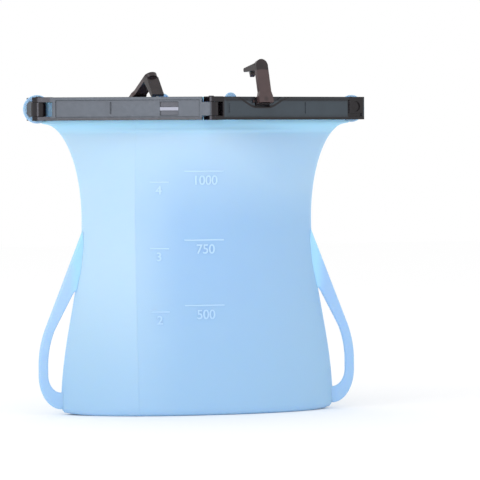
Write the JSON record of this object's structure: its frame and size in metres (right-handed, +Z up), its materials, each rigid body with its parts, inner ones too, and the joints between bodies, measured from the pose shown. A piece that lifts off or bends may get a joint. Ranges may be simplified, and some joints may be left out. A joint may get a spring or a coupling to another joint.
{
  "type": "reusable silicone storage bag",
  "caption": "Stand-up silicone food bag with flared mouth, side strap handles and a folding hinged bar frame that closes the mouth flat and is held by two flip-over latches.",
  "frame": {"origin": "centre of the bounding box in plan, on the floor under the base", "axes": "+X to the right along the mouth's width, front towards -Y, +Z up"},
  "size_m": [0.2322, 0.0854, 0.2327],
  "materials": {
    "silicone": "translucent satin",
    "bar": "smoky translucent gloss",
    "latch": "smoky translucent gloss",
    "pin": "satin"
  },
  "bodies": {
    "bag": {"bag_front_wall": "silicone", "bag_rear_wall": "silicone", "bag_base": "silicone", "left_handle": "silicone", "right_handle": "silicone"},
    "left_end": {"left_end_disc": "silicone", "left_outer_pin": "pin"},
    "front_left": {"front_left_bar": "bar", "front_left_rim": "silicone"},
    "front_right": {"front_right_bar": "bar", "front_right_rim": "silicone", "front_centre_pin": "pin"},
    "right_end": {"right_end_disc": "silicone", "right_outer_pin": "pin"},
    "rear_left": {"rear_left_bar": "bar", "rear_left_rim": "silicone", "rear_centre_pin": "pin"},
    "rear_right": {"rear_right_bar": "bar", "rear_right_rim": "silicone"},
    "front_latch": {"front_latch": "latch"},
    "rear_latch": {"rear_latch": "latch"}
  },
  "joints": [
    {"name": "left_end_slide", "type": "slide", "parent": "bag", "child": "left_end", "axis": [-1, 0, 0], "range_m": [0, 0.00622]},
    {"name": "frame_fold", "type": "hinge", "parent": "left_end", "child": "front_left", "pos_m": [-0.10678, -0.00527, 0.2], "axis": [0, 0, 1], "range_deg": [0, 16.5]},
    {"name": "rear_left_fold", "type": "hinge", "parent": "left_end", "child": "rear_left", "pos_m": [-0.10678, -0.00527, 0.2], "axis": [0, 0, 1], "range_deg": [-16.5, 0]},
    {"name": "front_centre_fold", "type": "hinge", "parent": "front_left", "child": "front_right", "pos_m": [0.00156, -0.03737, 0.2], "axis": [0, 0, 1], "range_deg": [-33, 0]},
    {"name": "rear_centre_fold", "type": "hinge", "parent": "rear_left", "child": "rear_right", "pos_m": [-0.00156, 0.03737, 0.2], "axis": [0, 0, 1], "range_deg": [0, 33]},
    {"name": "right_end_turn", "type": "hinge", "parent": "front_right", "child": "right_end", "pos_m": [0.10678, 0.00527, 0.2], "axis": [0, 0, 1], "range_deg": [0, 16.5]},
    {"name": "front_latch_flip", "type": "hinge", "parent": "front_right", "child": "front_latch", "pos_m": [0.03702, -0.03031, 0.205], "axis": [-0.9588, -0.284, 0], "range_deg": [-29, 76]},
    {"name": "rear_latch_flip", "type": "hinge", "parent": "rear_left", "child": "rear_latch", "pos_m": [-0.03222, 0.03173, 0.205], "axis": [0.9588, 0.284, 0], "range_deg": [-71.5, 33.5]}
  ],
  "couplings": [
    {"joint": "left_end_slide", "follows": "frame_fold", "m_per_rad": 0.02158},
    {"joint": "rear_left_fold", "follows": "frame_fold", "ratio": -1},
    {"joint": "front_centre_fold", "follows": "frame_fold", "ratio": -2},
    {"joint": "rear_centre_fold", "follows": "frame_fold", "ratio": 2},
    {"joint": "right_end_turn", "follows": "frame_fold", "ratio": 1}
  ]
}
